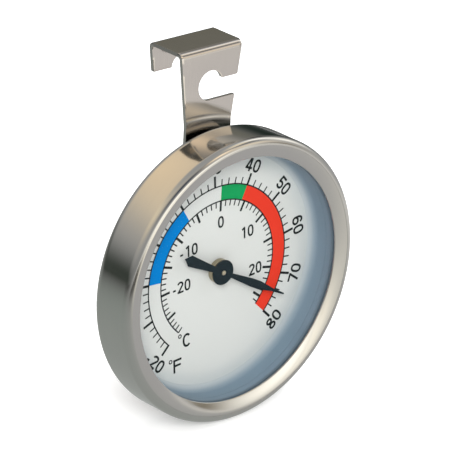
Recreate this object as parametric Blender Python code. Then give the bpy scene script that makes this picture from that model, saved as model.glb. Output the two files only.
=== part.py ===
"""Hang-or-stand dial thermometer: a round steel case with a bimetal movement, on a bent steel hanger.

Each piece is modelled in the dial's own frame: X to the right, Y up, Z towards the viewer, with the middle of the
dial's face at the origin. One empty carries that frame and stands it up, and a second one turns the pointer.
"""

import math

import bmesh
import bpy

# Clearances, in metres
CLEAR = 0.0003
FIT = 0.00015
RUN = 0.0001

# Case and bezel
CASE_RADIUS = 0.032
CASE_WALL = 0.0006
CASE_CORNER = 0.0028
PANEL_RADIUS = 0.022
RIM_BEAD = 0.002
RIM_SEAM = 0.0002
BEZEL_WIDTH = 0.0025
BEZEL_SHEET = 0.0006
BEZEL_LIFT = 0.0005
BEZEL_FLANGE = 0.0003
BEZEL_RISE = 0.00105

# Window and dial
LENS_THICK = 0.0012
GASKET_THICK = 0.0005
GASKET_LIP = 0.00025
SPACER_HEIGHT = 0.00405
SPACER_COVE = 0.003
DIAL_THICK = 0.0005
SUPPORT_WIDTH = 0.0015
SUPPORT_HEIGHT = 0.002

# Pointer and its boss
POINTER_THICK = 0.00035
POINTER_TIP = 0.0202
POINTER_TIP_WIDTH = 0.00016
SHOULDER_REACH = 0.0157
SHOULDER_WIDTH = 0.00056
BLADE_OUTER_REACH = 0.0121
BLADE_INNER_REACH = 0.0096
BLADE_WIDTH = 0.00186
NECK_WIDTH = 0.0010
TAIL_NECK_WIDTH = 0.0013
TAIL_WIDTH = 0.0025
TAIL_REACH = 0.01065
TAIL_POINT = 0.0123
HUB_RADIUS = 0.0028
BOSS_RADIUS = 0.0027
BOSS_HEIGHT = 0.0014
POINTER_REST_DEG = 117.5

# Movement
ARBOR_RADIUS = 0.00055
ARBOR_TIP = 0.00025
BUSH_RADIUS = 0.0015
BUSH_FLANGE_RADIUS = 0.0024
BUSH_FLANGE_THICK = 0.0003
COLLET_RADIUS = 0.0015
COIL_TURNS = 8
COIL_RADIUS = 0.0093
COIL_STRIP = 0.00025
COIL_WIDTH = 0.0015
COIL_TAB = 0.003
POST_RADIUS = 0.001
POST_SPIGOT_RADIUS = 0.0006
SCREW_HEAD_RADIUS = 0.00055
SCREW_HEAD_HEIGHT = 0.00035
SCREW_RADIUS = 0.0003
PLATE_THICK = 0.0005
PLATE_WIDTH = 0.012

# Hanger strap and its rivets
STRAP_SHEET = 0.0008
STRAP_TOP_WIDTH = 0.0169
STRAP_LOW_WIDTH = 0.0125
STRAP_BEND = 0.0014
HOOK_HEIGHT = 0.0486
HOOK_DEPTH = 0.0104
LIP_LENGTH = 0.0069
NOTCH_RADIUS = 0.0025
SLOT_RADIUS = 0.0033
SLOT_DROP = 0.00845
SLOT_MOUTH = 0.0044
FOOT_DEPTH = 0.0081
RIVET_OFFSET = 0.0155
RIVET_RADIUS = 0.0012
RIVET_HEAD_RADIUS = 0.0022
RIVET_HEAD_HEIGHT = 0.0007

# Facets
RING_STEPS = 72
PIN_STEPS = 24
ARC_STEPS = 6
COIL_STEPS = 24

# Depths behind the dial's face
DIAL_BACK = -DIAL_THICK
DIAL_FLANGE_FRONT = DIAL_BACK - FIT
DIAL_FLANGE_BACK = DIAL_FLANGE_FRONT - BUSH_FLANGE_THICK
COIL_FRONT = DIAL_FLANGE_BACK - CLEAR
COIL_BACK = COIL_FRONT - COIL_WIDTH
COIL_MIDDLE = (COIL_FRONT + COIL_BACK) / 2
REAR_FLANGE_FRONT = COIL_BACK - CLEAR
REAR_FLANGE_BACK = REAR_FLANGE_FRONT - BUSH_FLANGE_THICK
PLATE_FRONT = REAR_FLANGE_BACK - FIT
PLATE_BACK = PLATE_FRONT - PLATE_THICK
LEDGE_FLOOR = DIAL_BACK - FIT - SUPPORT_HEIGHT - FIT
LEDGE_BACK = LEDGE_FLOOR - CASE_WALL
CASE_FLOOR = PLATE_BACK - FIT
CASE_BACK = CASE_FLOOR - CASE_WALL
STRAP_FRONT = CASE_BACK - CLEAR
STRAP_BACK = STRAP_FRONT - STRAP_SHEET
HOOK_BACK = STRAP_FRONT - HOOK_DEPTH
FOOT_BACK = STRAP_FRONT - FOOT_DEPTH

# Depths in front of the dial's face
SPACER_FRONT = FIT + SPACER_HEIGHT
LENS_BACK = SPACER_FRONT + FIT
LENS_FRONT = LENS_BACK + LENS_THICK
GASKET_BACK = LENS_FRONT + FIT
GASKET_FRONT = GASKET_BACK + GASKET_THICK
BEZEL_UNDER = GASKET_FRONT + FIT
BEZEL_EDGE = BEZEL_UNDER + BEZEL_SHEET
FLANGE_BACK = BEZEL_UNDER + BEZEL_LIFT
FLANGE_FRONT = FLANGE_BACK + BEZEL_FLANGE
RIM_UNDER = FLANGE_FRONT + CLEAR
RIM_FRONT = RIM_UNDER + CASE_WALL
BOSS_FRONT = FIT + BOSS_HEIGHT
POINTER_BACK = BOSS_FRONT + FIT
POINTER_FRONT = POINTER_BACK + POINTER_THICK
ARBOR_FRONT = POINTER_FRONT + ARBOR_TIP
ARBOR_BACK = CASE_FLOOR + CLEAR

# Radii that follow from the case
CASE_INSIDE = CASE_RADIUS - CASE_WALL
CORNER_INSIDE = CASE_CORNER - CASE_WALL
SEAT_RADIUS = CASE_INSIDE - CLEAR
RIM_MOUTH = CASE_RADIUS - RIM_BEAD
BEZEL_OPENING = RIM_MOUTH - BEZEL_WIDTH
BEAD_INSIDE = RIM_BEAD - CASE_WALL
SUPPORT_OUTSIDE = CASE_INSIDE - CORNER_INSIDE - CLEAR
PIN_BORE = ARBOR_RADIUS + FIT

# Where the dial's frame stands: on the case's lowest facet, with the middle of its depth at the origin
AXIS_Z = CASE_RADIUS * math.cos(math.pi / RING_STEPS)
DIAL_Y = (RIM_FRONT + min(HOOK_BACK, FOOT_BACK)) / 2

STEEL = (0.62, 0.60, 0.57)


def finish(name, colour, roughness, metallic, alpha=1.0):
    """A plain Principled material for one sub-part."""
    material = bpy.data.materials.new(name)
    material.use_nodes = True
    shader = material.node_tree.nodes["Principled BSDF"]
    shader.inputs["Base Color"].default_value = (*colour, 1.0)
    shader.inputs["Roughness"].default_value = roughness
    shader.inputs["Metallic"].default_value = metallic
    shader.inputs["Alpha"].default_value = alpha
    return material


def empty(name, parent=None, location=(0, 0, 0), rotation=(0, 0, 0)):
    frame = bpy.data.objects.new(name, None)
    bpy.context.scene.collection.objects.link(frame)
    frame.parent = parent
    frame.location = location
    frame.rotation_euler = rotation
    return frame


def place(name, shape, parent, material=None):
    """Make an object of a bmesh, with its faces outwards and its round sides smooth."""
    bmesh.ops.remove_doubles(shape, verts=shape.verts, dist=1e-7)
    bmesh.ops.recalc_face_normals(shape, faces=shape.faces)
    mesh = bpy.data.meshes.new(name)
    shape.to_mesh(mesh)
    shape.free()
    mesh.shade_smooth()
    mesh.set_sharp_from_angle(angle=math.radians(35))
    piece = bpy.data.objects.new(name, mesh)
    bpy.context.scene.collection.objects.link(piece)
    piece.parent = parent
    if material is None:
        piece.hide_render = True
        piece.display_type = "WIRE"
    else:
        mesh.materials.append(material)
    return piece


def arc(centre, radius, start_deg, end_deg, steps=ARC_STEPS):
    """Points on a circle from one angle to another, ends included."""
    turns = [start_deg + (end_deg - start_deg) * k / steps for k in range(steps + 1)]
    return [
        (centre[0] + radius * math.cos(math.radians(t)), centre[1] + radius * math.sin(math.radians(t)))
        for t in turns
    ]


def turned(name, outline, parent, material=None, steps=PIN_STEPS, closed=True):
    """Spin a (radius, depth) outline about Z. An open outline starts and ends on the axis."""
    shape = bmesh.new()
    half = math.pi / steps
    points = [shape.verts.new((r * math.cos(half), r * math.sin(half), z)) for r, z in outline]
    pairs = list(zip(points, points[1:]))
    if closed:
        pairs.append((points[-1], points[0]))
    edges = [shape.edges.new(pair) for pair in pairs]
    bmesh.ops.spin(
        shape, geom=points + edges, cent=(0, 0, 0), axis=(0, 0, 1), angle=2 * math.pi, steps=steps, use_merge=True
    )
    return place(name, shape, parent, material)


def rod(name, radius, low, high, parent, material=None, steps=PIN_STEPS):
    """A plain round bar from one depth to another."""
    outline = [(0, low), (radius, low), (radius, high), (0, high)]
    return turned(name, outline, parent, material, steps, closed=False)


def prism(name, outline, low, high, parent, material=None):
    """Raise an (x, y) outline from one depth to another."""
    shape = bmesh.new()
    face = shape.faces.new([shape.verts.new((x, y, low)) for x, y in outline])
    raised = bmesh.ops.extrude_face_region(shape, geom=[face])["geom"]
    moved = [v for v in raised if isinstance(v, bmesh.types.BMVert)]
    bmesh.ops.translate(shape, verts=moved, vec=(0, 0, high - low))
    return place(name, shape, parent, material)


def ribbon(name, rungs, parent, material):
    """Join four-cornered sections in order into one closed bar."""
    shape = bmesh.new()
    rings = [[shape.verts.new(corner) for corner in rung] for rung in rungs]
    for near, far in zip(rings, rings[1:]):
        for k in range(4):
            shape.faces.new((near[k], near[(k + 1) % 4], far[(k + 1) % 4], far[k]))
    shape.faces.new(rings[0])
    shape.faces.new(rings[-1])
    return place(name, shape, parent, material)


def cut(piece, cutter):
    """Take a cutter's shape out of a piece."""
    modifier = piece.modifiers.new(cutter.name, "BOOLEAN")
    modifier.operation = "DIFFERENCE"
    modifier.solver = "EXACT"
    modifier.object = cutter


def make_case(frame):
    """Drawn cup: a raised panel on the back, a round corner, a straight wall and a rim rolled in over the bezel."""
    step = LEDGE_BACK - CASE_BACK
    shift = CASE_WALL * math.tan(math.radians(22.5))
    bead = (RIM_MOUTH, RIM_FRONT - RIM_BEAD)
    outline = [
        (0, CASE_BACK),
        (PANEL_RADIUS, CASE_BACK),
        (PANEL_RADIUS + step, LEDGE_BACK),
        *arc((CASE_RADIUS - CASE_CORNER, LEDGE_BACK + CASE_CORNER), CASE_CORNER, -90, 0),
        *arc(bead, RIM_BEAD, 0, 90),
        *arc(bead, BEAD_INSIDE, 90, 0),
        *arc((CASE_INSIDE - CORNER_INSIDE, LEDGE_FLOOR + CORNER_INSIDE), CORNER_INSIDE, 0, -90),
        (PANEL_RADIUS + step - shift, LEDGE_FLOOR),
        (PANEL_RADIUS - shift, CASE_FLOOR),
        (0, CASE_FLOOR),
    ]
    material = finish("case_steel", STEEL, 0.22, 1.0)
    return turned("rear_case", outline, frame, material, RING_STEPS, closed=False)


def make_bezel(frame):
    """Formed ring: a dished cone from the window out to the rim, and a flange that the rim holds down."""
    shoulder = RIM_MOUTH - RIM_SEAM
    inside = shoulder - BEZEL_SHEET
    slope = BEZEL_RISE / (shoulder - BEZEL_OPENING)
    flange = RIM_MOUTH + (BEAD_INSIDE - CLEAR) * math.cos(math.radians(65))
    outline = [
        (BEZEL_OPENING, BEZEL_EDGE),
        (shoulder, BEZEL_EDGE + BEZEL_RISE),
        (shoulder, FLANGE_FRONT),
        (flange, FLANGE_FRONT),
        (flange, FLANGE_BACK),
        (inside, FLANGE_BACK),
        (inside, BEZEL_UNDER + slope * (inside - BEZEL_OPENING)),
        (BEZEL_OPENING, BEZEL_UNDER),
    ]
    turned("bezel_ring", outline, frame, finish("bezel_steel", STEEL, 0.16, 1.0), RING_STEPS)


def make_window(frame):
    """Gasket, lens, and the coved ring that holds the lens off the dial."""
    gasket = [
        (BEZEL_OPENING - GASKET_LIP, GASKET_BACK),
        (SEAT_RADIUS, GASKET_BACK),
        (SEAT_RADIUS, GASKET_FRONT),
        (BEZEL_OPENING - GASKET_LIP, GASKET_FRONT),
    ]
    turned("lens_gasket", gasket, frame, finish("gasket_rubber", (0.05, 0.05, 0.05), 0.6, 0.0), RING_STEPS)
    clear = finish("lens_clear", (0.95, 0.97, 0.98), 0.02, 0.0, 0.25)
    rod("lens", SEAT_RADIUS, LENS_BACK, LENS_FRONT, frame, clear, RING_STEPS)
    cove = arc((BEZEL_OPENING - SPACER_COVE, FIT + SPACER_COVE), SPACER_COVE, 0, -75)
    spacer = [(SEAT_RADIUS, FIT), (SEAT_RADIUS, SPACER_FRONT), (BEZEL_OPENING, SPACER_FRONT), *cove, (cove[-1][0], FIT)]
    turned("spacer_ring", spacer, frame, finish("spacer_grey", (0.42, 0.47, 0.52), 0.35, 0.6), RING_STEPS)


def make_dial(frame):
    """Dial plate, the ring it rests on, and the bearing bush in its middle."""
    hole = BUSH_RADIUS + FIT
    plate = [(hole, DIAL_BACK), (SEAT_RADIUS, DIAL_BACK), (SEAT_RADIUS, 0), (hole, 0)]
    turned("dial_plate", plate, frame, finish("dial_white", (0.78, 0.78, 0.76), 0.5, 0.0), RING_STEPS)
    low = LEDGE_FLOOR + FIT
    high = low + SUPPORT_HEIGHT
    inside = SUPPORT_OUTSIDE - SUPPORT_WIDTH
    ring = [(inside, low), (SUPPORT_OUTSIDE, low), (SUPPORT_OUTSIDE, high), (inside, high)]
    turned("support_ring", ring, frame, finish("support_plastic", (0.1, 0.1, 0.1), 0.5, 0.0), RING_STEPS)
    bore = ARBOR_RADIUS + RUN
    bush = [
        (bore, DIAL_FLANGE_BACK),
        (BUSH_FLANGE_RADIUS, DIAL_FLANGE_BACK),
        (BUSH_FLANGE_RADIUS, DIAL_FLANGE_FRONT),
        (BUSH_RADIUS, DIAL_FLANGE_FRONT),
        (BUSH_RADIUS, 0),
        (bore, 0),
    ]
    turned("dial_bush", bush, frame, finish("bush_brass", (0.72, 0.55, 0.28), 0.3, 1.0))


def pointer_outline():
    """One half of the blade from tip to tail point, mirrored: spear arm, round hub, pointed tail."""
    neck = math.degrees(math.acos(NECK_WIDTH / 2 / HUB_RADIUS))
    tail_neck = -math.degrees(math.acos(TAIL_NECK_WIDTH / 2 / HUB_RADIUS))
    half = [
        (POINTER_TIP_WIDTH / 2, POINTER_TIP),
        (SHOULDER_WIDTH / 2, SHOULDER_REACH),
        (BLADE_WIDTH / 2, BLADE_OUTER_REACH),
        (BLADE_WIDTH / 2, BLADE_INNER_REACH),
        *arc((0, 0), HUB_RADIUS, neck, tail_neck, 2 * ARC_STEPS),
        (TAIL_WIDTH / 2, -TAIL_REACH),
    ]
    mirrored = [(-x, y) for x, y in reversed(half)]
    return [*half, (0, -TAIL_POINT), *mirrored]


def make_pointer(turning):
    """Blade, boss and collet on the arbor, all turning together."""
    black = finish("pointer_black", (0.02, 0.025, 0.03), 0.45, 0.0)
    blade = prism("pointer", pointer_outline(), POINTER_BACK, POINTER_FRONT, turning, black)
    cut(blade, rod("pointer_hole", PIN_BORE, POINTER_BACK - CLEAR, POINTER_FRONT + CLEAR, turning))
    brass = finish("boss_brass", (0.62, 0.52, 0.33), 0.3, 1.0)
    boss = [(PIN_BORE, FIT), (BOSS_RADIUS, FIT), (BOSS_RADIUS, BOSS_FRONT), (PIN_BORE, BOSS_FRONT)]
    turned("pointer_boss", boss, turning, brass)
    steel = finish("arbor_steel", (0.7, 0.67, 0.6), 0.25, 1.0)
    rod("arbor", ARBOR_RADIUS, ARBOR_BACK, ARBOR_FRONT, turning, steel)
    collet = [(PIN_BORE, COIL_BACK), (COLLET_RADIUS, COIL_BACK), (COLLET_RADIUS, COIL_FRONT), (PIN_BORE, COIL_FRONT)]
    turned("coil_collet", collet, turning, finish("collet_brass", (0.72, 0.55, 0.28), 0.35, 1.0))


def make_plate(frame):
    """Strip on the case's floor that carries the rear bearing."""
    end = RIVET_OFFSET + RIVET_HEAD_RADIUS + CLEAR
    side = PLATE_WIDTH / 2
    outline = [(side, -end), (side, end), (-side, end), (-side, -end)]
    steel = finish("plate_steel", (0.55, 0.55, 0.56), 0.4, 1.0)
    plate = prism("movement_plate", outline, PLATE_BACK, PLATE_FRONT, frame, steel)
    cut(plate, rod("rear_bush_hole", BUSH_RADIUS + FIT, PLATE_BACK - CLEAR, PLATE_FRONT + CLEAR, frame))
    bore = ARBOR_RADIUS + RUN
    bush = [
        (bore, PLATE_BACK),
        (BUSH_RADIUS, PLATE_BACK),
        (BUSH_RADIUS, REAR_FLANGE_BACK),
        (BUSH_FLANGE_RADIUS, REAR_FLANGE_BACK),
        (BUSH_FLANGE_RADIUS, REAR_FLANGE_FRONT),
        (bore, REAR_FLANGE_FRONT),
    ]
    turned("rear_bush", bush, frame, finish("rear_brass", (0.72, 0.55, 0.28), 0.35, 1.0))
    return plate


def make_coil(frame, plate):
    """Bimetal spiral from the collet to its post, where a screw clamps the straight end of the strip."""
    start = COLLET_RADIUS + FIT + COIL_STRIP / 2
    pitch = (COIL_RADIUS - start) / COIL_TURNS
    count = round(COIL_TURNS * COIL_STEPS)
    rungs = []
    middles = []
    for k in range(count + 1):
        back = 2 * math.pi * COIL_TURNS * (count - k) / count
        turn = math.pi / 2 - back
        radius = COIL_RADIUS - pitch * back / (2 * math.pi)
        middles.append((radius * math.cos(turn), radius * math.sin(turn)))
        rungs.append(strip_section(radius * math.cos(turn), radius * math.sin(turn), math.cos(turn), math.sin(turn)))
    rungs.append(strip_section(-COIL_TAB, COIL_RADIUS, 0, 1))
    gap = min(
        math.dist(a, b) for i, a in enumerate(middles) for b in middles[i + COIL_STEPS // 2:]
    ) - COIL_STRIP
    print(f"bimetal_coil: least gap to itself {gap * 1000:.2f} mm")
    coil = ribbon("bimetal_coil", rungs, frame, finish("coil_bimetal", (0.5, 0.42, 0.34), 0.4, 1.0))

    across = -(COIL_TAB - POST_RADIUS)
    post_y = COIL_RADIUS + COIL_STRIP / 2 + FIT + POST_RADIUS
    stud = empty("post_axis", frame, (across, post_y, 0))
    outline = [
        (0, PLATE_BACK),
        (POST_SPIGOT_RADIUS, PLATE_BACK),
        (POST_SPIGOT_RADIUS, PLATE_FRONT + FIT),
        (POST_RADIUS, PLATE_FRONT + FIT),
        (POST_RADIUS, COIL_FRONT),
        (0, COIL_FRONT),
    ]
    post = turned("coil_anchor_post", outline, stud, finish("post_brass", (0.72, 0.55, 0.28), 0.35, 1.0), closed=False)
    cut(plate, rod("post_hole", POST_SPIGOT_RADIUS + FIT, PLATE_BACK - CLEAR, PLATE_FRONT + CLEAR, stud))

    screw_line = empty("screw_axis", frame, (across, 0, COIL_MIDDLE), (math.radians(-90), 0, 0))
    under_tab = COIL_RADIUS - COIL_STRIP / 2 - FIT
    screw = [
        (0, under_tab - SCREW_HEAD_HEIGHT),
        (SCREW_HEAD_RADIUS, under_tab - SCREW_HEAD_HEIGHT),
        (SCREW_HEAD_RADIUS, under_tab),
        (SCREW_RADIUS, under_tab),
        (SCREW_RADIUS, post_y),
        (0, post_y),
    ]
    turned("coil_end_screw", screw, screw_line, finish("screw_steel", (0.5, 0.5, 0.5), 0.35, 1.0), closed=False)
    hole = rod("screw_hole", SCREW_RADIUS + FIT, under_tab, post_y + FIT, screw_line)
    cut(coil, hole)
    cut(post, hole)


def strip_section(x, y, out_x, out_y):
    """Four corners of the bimetal strip's section at a point, given its outward direction."""
    half = COIL_STRIP / 2
    return [
        (x - half * out_x, y - half * out_y, COIL_BACK),
        (x + half * out_x, y + half * out_y, COIL_BACK),
        (x + half * out_x, y + half * out_y, COIL_FRONT),
        (x - half * out_x, y - half * out_y, COIL_FRONT),
    ]


def strap_half_width(y):
    """Half the strap's width at a height: it tapers from the hook's top to the case's top, and is even below."""
    share = (y - CASE_RADIUS) / (HOOK_HEIGHT - CASE_RADIUS)
    return (STRAP_LOW_WIDTH + (STRAP_TOP_WIDTH - STRAP_LOW_WIDTH) * max(share, 0.0)) / 2


def strap_bend(depth, height, start_deg):
    """(outer, inner) points round one quarter bend of the strip, in depth and height."""
    centre = (depth, height)
    outer = arc(centre, STRAP_BEND, start_deg, start_deg - 90)
    inner = arc(centre, STRAP_BEND - STRAP_SHEET, start_deg, start_deg - 90)
    return list(zip(outer, inner))


def make_strap(frame):
    """One bent strip: lip, hook, long back and foot, with a side-open hole in the back and a notch in the lip."""
    lip_end = HOOK_HEIGHT - LIP_LENGTH
    stations = [
        ((HOOK_BACK, lip_end), (HOOK_BACK + STRAP_SHEET, lip_end)),
        *strap_bend(HOOK_BACK + STRAP_BEND, HOOK_HEIGHT - STRAP_BEND, 180),
        *strap_bend(STRAP_FRONT - STRAP_BEND, HOOK_HEIGHT - STRAP_BEND, 90),
        ((STRAP_FRONT, CASE_RADIUS), (STRAP_BACK, CASE_RADIUS)),
        *strap_bend(STRAP_FRONT - STRAP_BEND, -AXIS_Z + STRAP_BEND, 0),
        ((FOOT_BACK, -AXIS_Z), (FOOT_BACK, -AXIS_Z + STRAP_SHEET)),
    ]
    rungs = []
    for (outer_z, outer_y), (inner_z, inner_y) in stations:
        outer_x = strap_half_width(outer_y)
        inner_x = strap_half_width(inner_y)
        rungs.append(
            [
                (-outer_x, outer_y, outer_z),
                (outer_x, outer_y, outer_z),
                (inner_x, inner_y, inner_z),
                (-inner_x, inner_y, inner_z),
            ]
        )
    strap = ribbon("hanger_strap", rungs, frame, finish("strap_steel", (0.6, 0.58, 0.55), 0.3, 1.0))

    middle = HOOK_HEIGHT - SLOT_DROP
    rise = SLOT_MOUTH - SLOT_RADIUS
    open_deg = math.degrees(math.asin(rise / SLOT_RADIUS))
    slot = [
        *arc((0, middle), SLOT_RADIUS, open_deg, 270, 4 * ARC_STEPS),
        (STRAP_TOP_WIDTH, middle - SLOT_RADIUS),
        (STRAP_TOP_WIDTH, middle + rise),
    ]
    cut(strap, prism("slot_cutter", slot, STRAP_BACK - CLEAR, STRAP_FRONT + CLEAR, frame))
    notch = arc((0, lip_end), NOTCH_RADIUS, 0, 360 - 360 / PIN_STEPS, PIN_STEPS - 1)
    cut(strap, prism("notch_cutter", notch, HOOK_BACK - CLEAR, HOOK_BACK + STRAP_SHEET + CLEAR, frame))
    return strap


def make_rivets(frame, joined):
    """Two rivets through the strap, the case's back and the movement plate."""
    inner = PLATE_FRONT + FIT
    outer = STRAP_BACK - FIT
    edge = RIVET_HEAD_HEIGHT / 2
    outline = [
        (0, outer - RIVET_HEAD_HEIGHT),
        (RIVET_HEAD_RADIUS - edge, outer - RIVET_HEAD_HEIGHT),
        (RIVET_HEAD_RADIUS, outer - edge),
        (RIVET_HEAD_RADIUS, outer),
        (RIVET_RADIUS, outer),
        (RIVET_RADIUS, inner),
        (RIVET_HEAD_RADIUS, inner),
        (RIVET_HEAD_RADIUS, inner + edge),
        (RIVET_HEAD_RADIUS - edge, inner + RIVET_HEAD_HEIGHT),
        (0, inner + RIVET_HEAD_HEIGHT),
    ]
    steel = finish("rivet_steel", (0.66, 0.65, 0.63), 0.3, 1.0)
    for side, height in (("upper", RIVET_OFFSET), ("lower", -RIVET_OFFSET)):
        line = empty(f"{side}_rivet_axis", frame, (0, height, 0))
        turned(f"{side}_rivet", outline, line, steel, closed=False)
        hole = rod(f"{side}_rivet_hole", RIVET_RADIUS + FIT, outer, inner, line)
        for piece in joined:
            cut(piece, hole)


def main():
    for old in list(bpy.data.objects):
        bpy.data.objects.remove(old)
    frame = empty("dial_frame", None, (0, DIAL_Y, AXIS_Z), (math.radians(90), 0, 0))
    turning = empty("pointer_axis", frame, (0, 0, 0), (0, 0, -math.radians(POINTER_REST_DEG)))
    case = make_case(frame)
    make_bezel(frame)
    make_window(frame)
    make_dial(frame)
    make_pointer(turning)
    plate = make_plate(frame)
    make_coil(frame, plate)
    strap = make_strap(frame)
    make_rivets(frame, (strap, case, plate))


main()
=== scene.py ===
"""Looks of a hang-or-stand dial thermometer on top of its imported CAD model.

The file is laid out as a Blender add-on and run as a script: main() registers it and calls its operators
in order. Every piece is worked out in metres in the CAD model's frame: X to the reader's right, Y to the
back, Z up.
"""

import math

import bmesh
import bpy
import numpy as np
from mathutils import Matrix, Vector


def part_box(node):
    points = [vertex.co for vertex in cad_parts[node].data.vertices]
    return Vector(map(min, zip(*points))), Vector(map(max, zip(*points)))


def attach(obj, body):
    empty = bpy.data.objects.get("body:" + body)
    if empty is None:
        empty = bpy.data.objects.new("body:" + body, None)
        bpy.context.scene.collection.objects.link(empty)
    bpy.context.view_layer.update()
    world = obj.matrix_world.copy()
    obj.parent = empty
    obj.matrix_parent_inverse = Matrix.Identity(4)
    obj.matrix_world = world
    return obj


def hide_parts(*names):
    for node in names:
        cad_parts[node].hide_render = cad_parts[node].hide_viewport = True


bl_info = {
    "name": "Dial thermometer",
    "version": (1, 0, 0),
    "blender": (4, 5, 0),
    "location": "View3D > Sidebar > Thermometer",
    "description": "Builds the visible pieces of a hang-or-stand dial thermometer on its packed CAD model",
    "category": "Object",
}

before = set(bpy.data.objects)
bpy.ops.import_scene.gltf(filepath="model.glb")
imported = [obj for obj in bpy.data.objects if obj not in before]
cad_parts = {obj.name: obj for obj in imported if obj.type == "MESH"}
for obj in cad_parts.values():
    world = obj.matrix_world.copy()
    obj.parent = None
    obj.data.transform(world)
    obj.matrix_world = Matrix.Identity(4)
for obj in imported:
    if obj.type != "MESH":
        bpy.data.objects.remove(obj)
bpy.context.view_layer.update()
MM = 0.001
MERGE_DISTANCE = 1e-7
SLIVER_LENGTH = 1e-8

# Places that the CAD model gives
CASE_LOW, CASE_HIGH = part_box("rear_case")
AXIS_HEIGHT = (CASE_LOW.z + CASE_HIGH.z) / 2
DIAL_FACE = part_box("dial_plate")[0].y
HINGE = "pointer_assembly"
FIXED = "housing"


def span(node):
    """(back, front) of a node as heights above the dial's face, towards the reader."""
    low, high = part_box(node)
    return DIAL_FACE - high.y, DIAL_FACE - low.y


def reach(node):
    """The radius of a round node about the dial's axis, on its flats."""
    low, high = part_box(node)
    return (high.x - low.x) / 2


def length(name, description, default, lowest=0.0):
    return bpy.props.FloatProperty(
        name=name, description=description, default=default, min=lowest, precision=5,
        subtype="DISTANCE", unit="LENGTH"
    )


def turn(name, description, default):
    return bpy.props.FloatProperty(
        name=name, description=description, default=math.radians(default), subtype="ANGLE", unit="ROTATION"
    )


def colour(name, description, default):
    return bpy.props.FloatVectorProperty(
        name=name, description=description, default=default, size=3, min=0.0, max=1.0, subtype="COLOR"
    )


def share(name, description, default):
    return bpy.props.FloatProperty(
        name=name, description=description, default=default, min=0.0, max=1.0, subtype="FACTOR"
    )


class CaseSettings(bpy.types.PropertyGroup):
    """Drawn steel case and the bezel that its rolled rim holds."""

    radius: length("Case radius", "Outside radius of the round case", reach("rear_case"))
    wall: length("Case wall", "Thickness of the case's sheet", 0.6 * MM)
    corner: length("Back corner", "Radius of the case's round back edge", 2.8 * MM)
    panel: length("Back panel", "Radius of the raised panel on the case's back", 22 * MM)
    ledge: length("Panel step", "Height of the raised panel over the rest of the back", 1.35 * MM)
    bead: length("Rim roll", "Radius of the rim that is rolled in over the bezel", 1.7 * MM)
    seam: length("Rim seam", "Gap between the rim and the bezel", 0.008 * MM)
    bezel_width: length("Bezel width", "Width of the bezel's sloping face", 2.97 * MM)
    bezel_rise: length("Bezel rise", "Height that the bezel gains from the window to the rim", 0.93 * MM)
    steel: colour("Case steel", "Colour of the case and the bezel", (0.61, 0.605, 0.58))
    polish: share("Case roughness", "Roughness of the case's side", 0.1)
    bezel_polish: share("Bezel roughness", "Roughness of the bezel's face", 0.1)


class DialSettings(bpy.types.PropertyGroup):
    """Window, dial plate and the printed scales."""

    cove: length("Spacer cove", "Radius of the cove at the spacer's foot", 2.0 * MM)
    tilt: turn("Dial tilt", "How far the dial plate sits turned in its case, clockwise", -4.96)
    outer_line: length("Outer scale line", "Radius of the Fahrenheit scale's line", 19.19 * MM)
    inner_line: length("Inner scale line", "Radius of the Celsius scale's line", 15.75 * MM)
    line_width: length("Line width", "Width of the two scale lines and the short marks", 0.3 * MM)
    mark_width: length("Mark width", "Width of the long marks", 0.55 * MM)
    ink_rise: length("Ink height", "Height of the print above the dial plate", 0.02 * MM)
    wall: colour("Wall", "Colour of the wall between the window and the dial", (0.2, 0.275, 0.345))
    plate: colour("Dial plate", "Colour of the dial's enamel", (0.78, 0.78, 0.755))
    ink: colour("Ink", "Colour of the marks and figures", (0.022, 0.027, 0.027))
    cold: colour("Freezer band", "Band from 0 to 20 degrees Fahrenheit", (0.001, 0.235, 0.68))
    cool: colour("Refrigerator band", "Band from 32 to 40 degrees Fahrenheit", (0.012, 0.36, 0.11))
    warm: colour("Warm band", "Band from 40 to 80 degrees Fahrenheit", (0.9, 0.054, 0.028))


class PointerSettings(bpy.types.PropertyGroup):
    """Pointer, its boss and the end of the arbor."""

    rest: turn("Pointer at rest", "Where the pointer stands, clockwise from the top", 117.5)
    tip: length("Tip", "Reach of the pointer's tip", 20.2 * MM)
    shoulder: length("Shoulder", "Reach of the needle's thicker end", 16.4 * MM)
    blade_outer: length("Blade end", "Reach of the widest part of the blade", 12.1 * MM)
    blade_inner: length("Blade start", "Where the blade reaches its full width", 9.6 * MM)
    hub: length("Hub", "Radius of the pointer's round hub", 2.8 * MM)
    tail: length("Tail", "Reach of the tail's shoulders", 10.65 * MM)
    tail_point: length("Tail point", "Reach of the tail's point", 12.3 * MM)
    paint: colour("Pointer paint", "Colour of the pointer", (0.012, 0.022, 0.028))
    brass: colour("Brass", "Colour of the boss and the bearings", (0.4, 0.35, 0.25))


class StrapSettings(bpy.types.PropertyGroup):
    """Bent steel strap with its hook, its side-open hole and its foot."""

    sheet: length("Strap sheet", "Thickness of the strap", 0.8 * MM)
    top_width: length("Top width", "Width at the hook's top", 16.9 * MM)
    low_width: length("Low width", "Width behind the case", 12.5 * MM)
    bend: length("Bend", "Outside radius of the strap's bends", 1.4 * MM)
    lip: length("Lip", "Length of the hook's lip", 6.9 * MM)
    notch: length("Notch", "Radius of the notch in the lip's end", 2.5 * MM)
    hole: length("Hole", "Radius of the hanging hole", 3.3 * MM)
    hole_drop: length("Hole drop", "Depth of the hole's middle under the hook's top", 8.45 * MM)
    mouth: length("Hole mouth", "Height of the hole's open side", 4.4 * MM)
    tip_round: length("Tip rounding", "Radius of the strap's cut corners", 0.2 * MM)
    steel: colour("Strap steel", "Colour of the strap", (0.6, 0.575, 0.55))
    polish: share("Strap roughness", "Roughness of the strap", 0.1)


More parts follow.
